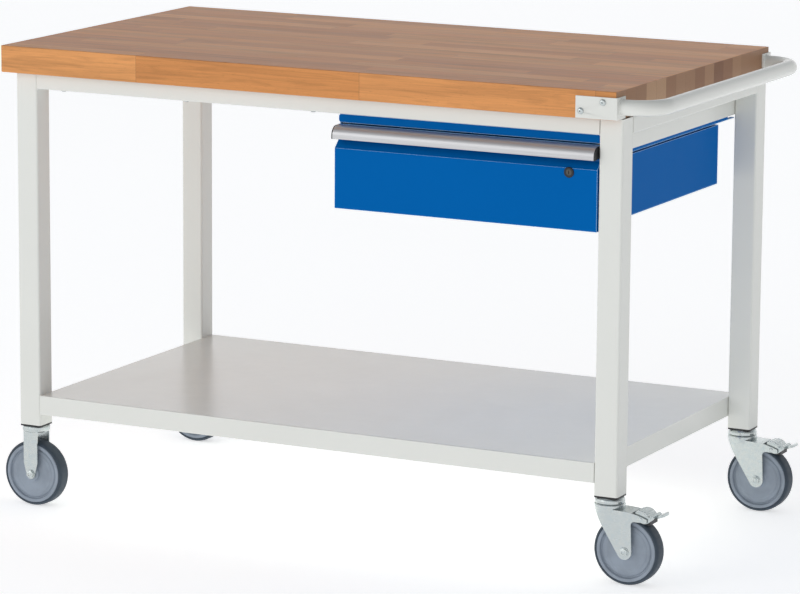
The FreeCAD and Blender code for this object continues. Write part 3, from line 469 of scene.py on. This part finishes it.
def ribbon(points, half_widths, thickness):
    """Sheet bent along (x, z) points, with its own half width at each: a bmesh."""
    work = bmesh.new()
    rings = []
    for k, (point, half) in enumerate(zip(points, half_widths)):
        before, after = Vector(points[max(k - 1, 0)]), Vector(points[min(k + 1, len(points) - 1)])
        along = (after - before).normalized()
        over = Vector((-along.y, along.x)) * thickness / 2
        rings.append([work.verts.new((point[0] + over.x * up, half * across,
                                      point[1] + over.y * up))
                      for up, across in ((1, -1), (1, 1), (-1, 1), (-1, -1))])
    for first, second in zip(rings, rings[1:]):
        for k in range(4):
            work.faces.new([first[k], first[(k + 1) % 4], second[(k + 1) % 4], second[k]])
    work.faces.new(rings[0])
    work.faces.new(rings[-1])
    bmesh.ops.recalc_face_normals(work, faces=work.faces)
    return work


def smooth_line(points, steps):
    """Catmull-Rom curve through tuples of numbers."""
    result = []
    for k in range(len(points) - 1):
        a, b = points[max(k - 1, 0)], points[k]
        c, d = points[k + 1], points[min(k + 2, len(points) - 1)]
        for step in range(steps):
            t = step / steps
            result.append(tuple(0.5 * (2 * q + (r - p) * t + (2 * p - 5 * q + 4 * r - s) * t * t
                                       + (3 * q - p - 3 * r + s) * t ** 3)
                                for p, q, r, s in zip(a, b, c, d)))
    return result + [tuple(points[-1])]


def plate(outline, low, high):
    """Flat sheet with an (x, z) outline between two values of Y: a bmesh."""
    work = bmesh.new()
    near = [work.verts.new((x, low, z)) for x, z in outline]
    far = [work.verts.new((x, high, z)) for x, z in outline]
    for k in range(len(outline)):
        m = (k + 1) % len(outline)
        work.faces.new([near[k], near[m], far[m], far[k]])
    work.faces.new(near)
    work.faces.new(far)
    bmesh.ops.recalc_face_normals(work, faces=work.faces)
    return work


def in_metres(points):
    return [tuple(value * MM for value in point) for point in points]


def make_pedals():
    """Brake lever: ribbed cover between the fork plates, two cheeks and the foot tab."""
    pivots = {joint["child"]: Vector(joint["pos_m"]) for joint in frame["joints"]
              if joint["child"].startswith("pedal_")}
    sheet, pad_thick, cheek_inside, cheek_outside = 2.4, 4.8, 16.0, 18.4
    eye_x, eye_z, bar_rise = 19.6, 5.4, 1.0
    # x, z and half width along the middle of the sheet, measured from the pivot
    cover = [(-12.2, 8.7, 17.6), (-9.5, 12.2, 18.2), (-5.5, 13.8, 18.4), (0.0, 13.8, 18.4),
             (5.0, 12.4, 18.4), (9.5, 9.4, 18.2), (13.0, 6.6, 17.2), (16.0, 5.0, 14.0)]
    tab = [(14.5, 5.0, 13.0), (18.5, 3.7, 11.5), (23.0, 3.8, 11.2), (28.0, 5.6, 13.2),
           (33.0, 7.8, 15.4)]
    pad = [(27.5, 5.2, 12.6), (33.0, 7.8, 15.4), (37.0, 9.2, 15.8), (39.6, 9.7, 13.6),
           (41.2, 9.8, 9.0)]
    cheek = smooth_line([(-12.0, 8.0), (-9.0, 11.4), (-5.0, 12.8), (0.5, 12.8), (5.5, 11.0),
                         (10.0, 7.8), (14.0, 6.0), (18.0, 6.0), (22.0, 6.8), (24.5, 5.4),
                         (23.0, 2.0), (18.5, -1.5), (13.0, -5.4), (8.0, -7.2), (3.0, -7.2),
                         (-2.5, -4.6), (-7.0, 0.0), (-10.5, 4.0)], 3)
    eye = [(1.4, -18.9), (2.9, -18.9), (3.2, -18.5), (3.2, 18.5), (2.9, 18.9), (1.4, 18.9)]
    for place in ("front", "rear"):
        work, pivot = bmesh.new(), pivots["pedal_" + place]
        for path, thick in ((cover, sheet), (tab, sheet), (pad, pad_thick)):
            line_up = in_metres(smooth_line(path, 4))
            join(work, ribbon([p[:2] for p in line_up], [p[2] for p in line_up], thick * MM), pivot)
        for x, z, _ in smooth_line(cover, 2)[2:12:2]:
            bar = [(0, -15.5), (1.0, -15.0), (1.3, 0), (1.0, 15.0), (0, 15.5)]
            spot = pivot + Vector((x * MM, 0, (z + bar_rise) * MM))
            join(work, lathe([(r * MM, along * MM) for r, along in bar], 14, closed=False), spot)
        join(work, lathe([(r * MM, along * MM) for r, along in eye], 28),
             pivot + Vector((eye_x * MM, 0, eye_z * MM)))
        for low, high in ((-cheek_outside, -cheek_inside), (cheek_inside, cheek_outside)):
            join(work, plate(in_metres(cheek), low * MM, high * MM), pivot)
        node = "brake_pedal_%s_right" % place
        mesh = to_mesh(work, node)
        piece = add_piece("look_" + node, mesh, "zinc", "pedal_" + place, (node,))
        edge = piece.modifiers.new("edge", "BEVEL")
        edge.width, edge.segments, edge.limit_method = 0.45 * MM, 2, "ANGLE"
        edge.angle_limit = math.radians(50)


# ---- screws --------------------------------------------------------------------------------
HEAD_HEIGHT = 3.5 * MM
HEAD_RIM = 5.5 * MM         # what lies farther than this from a screw's axis is on its head


def screw_master():
    """Pan head with a cross recess and its shank; the head's seat is y = 0, the shank is +Y."""
    dome = [(0, -3.5), (2.2, -3.42), (3.9, -3.05), (5.1, -2.3), (5.8, -1.3), (6.0, -0.5),
            (5.9, 0.0), (2.5, 0.0), (2.5, 8.0), (0, 8.0)]
    head = to_mesh(lathe([(r * MM, a * MM) for r, a in dome], 40, closed=False), "screw_head")
    cutter = bmesh.new()
    for turn in (0, math.pi / 2):
        arm = bmesh.ops.create_cube(cutter, size=1.0)["verts"]
        bmesh.ops.scale(cutter, verts=arm, vec=(5.2 * MM, 4.6 * MM, 1.0 * MM))
        for vert in arm:
            if vert.co.y > 0:
                vert.co.x *= 0.35
        bmesh.ops.rotate(cutter, verts=arm, cent=(0, 0, 0), matrix=Matrix.Rotation(turn, 3, "Y"))
        bmesh.ops.translate(cutter, verts=arm, vec=(0, -3.6 * MM, 0))
    cutter_mesh = to_mesh(cutter, "screw_recess")
    whole = bpy.data.objects.new("screw_whole", head)
    tool = bpy.data.objects.new("screw_tool", cutter_mesh)
    for item in (whole, tool):
        bpy.context.scene.collection.objects.link(item)
    cut = whole.modifiers.new("recess", "BOOLEAN")
    cut.operation, cut.object, cut.solver = "DIFFERENCE", tool, "EXACT"
    cut.use_self = True
    bpy.context.view_layer.update()
    result = bpy.data.meshes.new_from_object(
        whole.evaluated_get(bpy.context.evaluated_depsgraph_get()))
    for item in (whole, tool):
        bpy.data.objects.remove(item)
    return result


def head_places(node):
    """Seat and shank direction of every screw in a CAD node, found from its loose parts."""
    work = bmesh.new()
    work.from_mesh(nodes[node].data)
    bmesh.ops.remove_doubles(work, verts=work.verts, dist=1e-6)
    left, places = set(work.verts), []
    while left:
        stack, part = [left.pop()], []
        while stack:
            vert = stack.pop()
            part.append(vert)
            for edge in vert.link_edges:
                other = edge.other_vert(vert)
                if other in left:
                    left.discard(other)
                    stack.append(other)
        low = Vector([min(v.co[k] for v in part) for k in range(3)])
        high = Vector([max(v.co[k] for v in part) for k in range(3)])
        size = high - low
        odd = max(range(3), key=lambda k: min(abs(size[k] - size[m]) for m in range(3) if m != k))
        middle = (low + high) / 2
        wide = [v.co[odd] for v in part
                if (v.co - middle - Vector([(v.co - middle)[k] if k == odd else 0
                                            for k in range(3)])).length > HEAD_RIM]
        near_low = sum(wide) / len(wide) < middle[odd]
        seat = Vector(middle)
        seat[odd] = low[odd] + HEAD_HEIGHT if near_low else high[odd] - HEAD_HEIGHT
        way = Vector([0, 0, 0])
        way[odd] = 1.0 if near_low else -1.0
        places.append((seat, way))
    work.free()
    return sorted(places, key=lambda place: tuple(place[0]))


def make_screws():
    master = screw_master()
    dice = random.Random(7)
    for node in ("handle_bracket_screws", "shelf_screws", "worktop_screws", "drawer_hanger_screws"):
        work = bmesh.new()
        for seat, way in head_places(node):
            count = len(work.verts)
            work.from_mesh(master)
            work.verts.ensure_lookup_table()
            fresh = work.verts[count:]
            spin = Matrix.Rotation(dice.uniform(0, math.tau), 4, "Y")
            turn = Vector((0, 1, 0)).rotation_difference(way).to_matrix().to_4x4()
            bmesh.ops.transform(work, matrix=Matrix.Translation(seat) @ turn @ spin, verts=fresh)
        add_piece("look_" + node, to_mesh(work, node), "zinc", "root", (node,), 40.0)


# ---- welds ---------------------------------------------------------------------------------
def bead(points, radius, pitch, closed, name):
    """A weld bead: a tube with small scales along a line of points."""
    steps, dice = 10, random.Random(len(points) * 31 + int(points[0][1] * 1000))
    work = bmesh.new()
    rings, travelled = [], 0.0
    count = len(points)
    for k, point in enumerate(points):
        before = points[k - 1] if k or closed else points[k]
        after = points[(k + 1) % count] if k < count - 1 or closed else points[k]
        along = (after - before).normalized()
        side = along.orthogonal().normalized()
        if rings:
            travelled += (point - points[k - 1]).length
        over = along.cross(side)
        ripple = 0.12 * math.sin(math.tau * travelled / pitch)
        size = radius * (1 + ripple + dice.uniform(-0.04, 0.04))
        rings.append([work.verts.new(point + (side * math.cos(math.tau * m / steps)
                                              + over * math.sin(math.tau * m / steps)) * size)
                      for m in range(steps)])
    pairs = list(zip(rings, rings[1:]))
    if closed:
        pairs.append((rings[-1], rings[0]))
    for first, second in pairs:
        shift = min(range(steps), key=lambda s: (first[0].co - second[s].co).length)
        for m in range(steps):
            work.faces.new([first[m], first[(m + 1) % steps], second[(m + 1 + shift) % steps],
                            second[(m + shift) % steps]])
    if not closed:
        work.faces.new(rings[0][::-1])
        work.faces.new(rings[-1])
    bmesh.ops.recalc_face_normals(work, faces=work.faces)
    add_piece(name, to_mesh(work, name), "frame_paint", "root", (), 60.0)


def line(start, end, spacing):
    start, end = Vector(start), Vector(end)
    count = max(2, int((end - start).length / spacing))
    return [start.lerp(end, k / count) for k in range(count + 1)]


def make_welds():
    tube_radius, ring_radius, ring_inset = 14 * MM, 14.5 * MM, 0.4 * MM
    handle_bead, handle_pitch = 1.7 * MM, 4 * MM
    rail_bead, rail_pitch, rail_margin, spacing = 1.3 * MM, 3.5 * MM, 3 * MM, 1 * MM
    ring_steps = 90
    tube_z = centre_of("push_handle").z
    low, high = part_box("push_handle")
    for side, label in ((-1, "front"), (1, "rear")):
        y = (low[1] + tube_radius) if side < 0 else (high[1] - tube_radius)
        turns = [math.tau * k / ring_steps for k in range(ring_steps)]
        ring = [Vector((low[0] + ring_inset, y + ring_radius * math.cos(turn),
                        tube_z + ring_radius * math.sin(turn))) for turn in turns]
        bead(ring, handle_bead, handle_pitch, True, "weld_handle_" + label)
    for label in ("front", "rear"):
        a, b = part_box("top_rail_" + label)
        for end, x in (("left", a[0]), ("right", b[0])):
            run = line((x, a[1] + rail_margin, a[2]), (x, b[1] - rail_margin, a[2]), spacing)
            bead(run, rail_bead, rail_pitch, False, "weld_rail_%s_%s" % (label, end))
    for end in ("left", "right"):
        a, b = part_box("top_rail_" + end)
        for label, y in (("front", a[1]), ("rear", b[1])):
            run = line((a[0] + rail_margin, y, a[2]), (b[0] - rail_margin, y, a[2]), spacing)
            bead(run, rail_bead, rail_pitch, False, "weld_end_rail_%s_%s" % (end, label))


# ---- edges of the CAD nodes ------------------------------------------------------------------
def soften(node, width, angle=35.0, segments=2):
    """Small real radius on the sharp edges of a CAD node."""
    weld = nodes[node].modifiers.new("weld", "WELD")
    weld.merge_threshold = 1e-6
    if node == "drawer_front":
        flat = nodes[node].modifiers.new("flat", "DECIMATE")
        flat.decimate_type, flat.angle_limit = "DISSOLVE", math.radians(0.5)
    edge = nodes[node].modifiers.new("edge", "BEVEL")
    edge.width, edge.segments = width, segments
    edge.limit_method, edge.angle_limit = "ANGLE", math.radians(angle)
    edge.harden_normals = True


def soften_all():
    for name in nodes:
        if name.startswith("castor_fork"):
            soften(name, 0.5 * MM)
        elif name == "drawer_front":
            soften(name, 1.0 * MM, 30.0, 3)
        elif name in ("drawer_hanger", "handle_bracket_front", "handle_bracket_rear"):
            soften(name, 0.4 * MM)


make_wheels()
make_bolts()
make_pedals()
make_screws()
make_welds()
soften_all()


# ---- room, light and camera --------------------------------------------------------------------
def make_floor():
    work = bmesh.new()
    bmesh.ops.create_circle(work, cap_ends=True, segments=96, radius=40.0)
    mesh = to_mesh(work, "studio_floor")
    look = Look("studio_floor", Roughness=0.9, Specular_IOR_Level=0.1, Emission_Strength=0.52,
                Emission_Color=(1.0, 1.0, 1.0, 1.0))
    look.set("Base Color", look.ramp(look.noise(0.3, 2.0), (0.3, 0.91), (0.7, 0.93)))
    mesh.materials.append(look.material)
    floor = bpy.data.objects.new("studio_floor", mesh)
    bpy.context.scene.collection.objects.link(floor)


def area_light(name, place, target, size, power):
    data = bpy.data.lights.new(name, "AREA")
    data.shape, data.size, data.energy = "DISK", size, power
    lamp = bpy.data.objects.new(name, data)
    lamp.location = place
    lamp.rotation_euler = (Vector(target) - Vector(place)).to_track_quat("-Z", "Y").to_euler()
    bpy.context.scene.collection.objects.link(lamp)


def make_light():
    world = bpy.data.worlds.new("studio")
    world.use_nodes = True
    tree = world.node_tree
    sky = tree.nodes["Background"]
    place = tree.nodes.new("ShaderNodeTexCoord")
    apart = tree.nodes.new("ShaderNodeSeparateXYZ")
    tree.links.new(place.outputs["Generated"], apart.inputs[0])

    def ramp(socket, *stops):
        node = tree.nodes.new("ShaderNodeValToRGB")
        tree.links.new(socket, node.inputs[0])
        while len(node.color_ramp.elements) < len(stops):
            node.color_ramp.elements.new(0.5)
        for element, (position, colour) in zip(node.color_ramp.elements, stops):
            element.position, element.color = position, (*colour, 1.0)
        return node.outputs[0]
    height = ramp(apart.outputs[2], (0.0, (1.0, 1.0, 1.0)), (0.25, (0.89, 0.895, 0.90)),
                  (0.6, (0.36, 0.37, 0.385)), (1.0, (0.14, 0.15, 0.165)))
    side = ramp(apart.outputs[0], (0.0, (1.0, 1.0, 1.0)), (0.35, (0.94, 0.94, 0.94)),
                (1.0, (0.33, 0.33, 0.34)))
    both = tree.nodes.new("ShaderNodeMix")
    both.data_type, both.blend_type = "RGBA", "MULTIPLY"
    both.inputs[0].default_value = 1.0
    tree.links.new(height, both.inputs[6])
    tree.links.new(side, both.inputs[7])
    tree.links.new(both.outputs[2], sky.inputs["Color"])
    sky.inputs["Strength"].default_value = 1.36
    bpy.context.scene.world = world
    area_light("soft_box", (-3.2, -5.2, 3.0), (0, 0, 0.5), 2.4, 26.0)


def make_camera():
    place = Vector((3.3856, -6.6725, 1.8590))
    yaw, pitch, roll = 0.47001, 0.19174, 0.00708
    data = bpy.data.cameras.new("camera")
    data.sensor_width = 36.0
    data.lens = 182.2
    forward = Vector((-math.sin(yaw) * math.cos(pitch), math.cos(yaw) * math.cos(pitch),
                      -math.sin(pitch)))
    right = Vector((math.cos(yaw), math.sin(yaw), 0))
    up = right.cross(forward)
    right, up = (right * math.cos(roll) + up * math.sin(roll),
                 up * math.cos(roll) - right * math.sin(roll))
    camera = bpy.data.objects.new("camera", data)
    camera.matrix_world = Matrix((
        (right.x, up.x, -forward.x, place.x), (right.y, up.y, -forward.y, place.y),
        (right.z, up.z, -forward.z, place.z), (0, 0, 0, 1)))
    bpy.context.scene.collection.objects.link(camera)
    bpy.context.scene.camera = camera


make_floor()
make_light()
make_camera()
bpy.context.scene.view_settings.view_transform = "Standard"
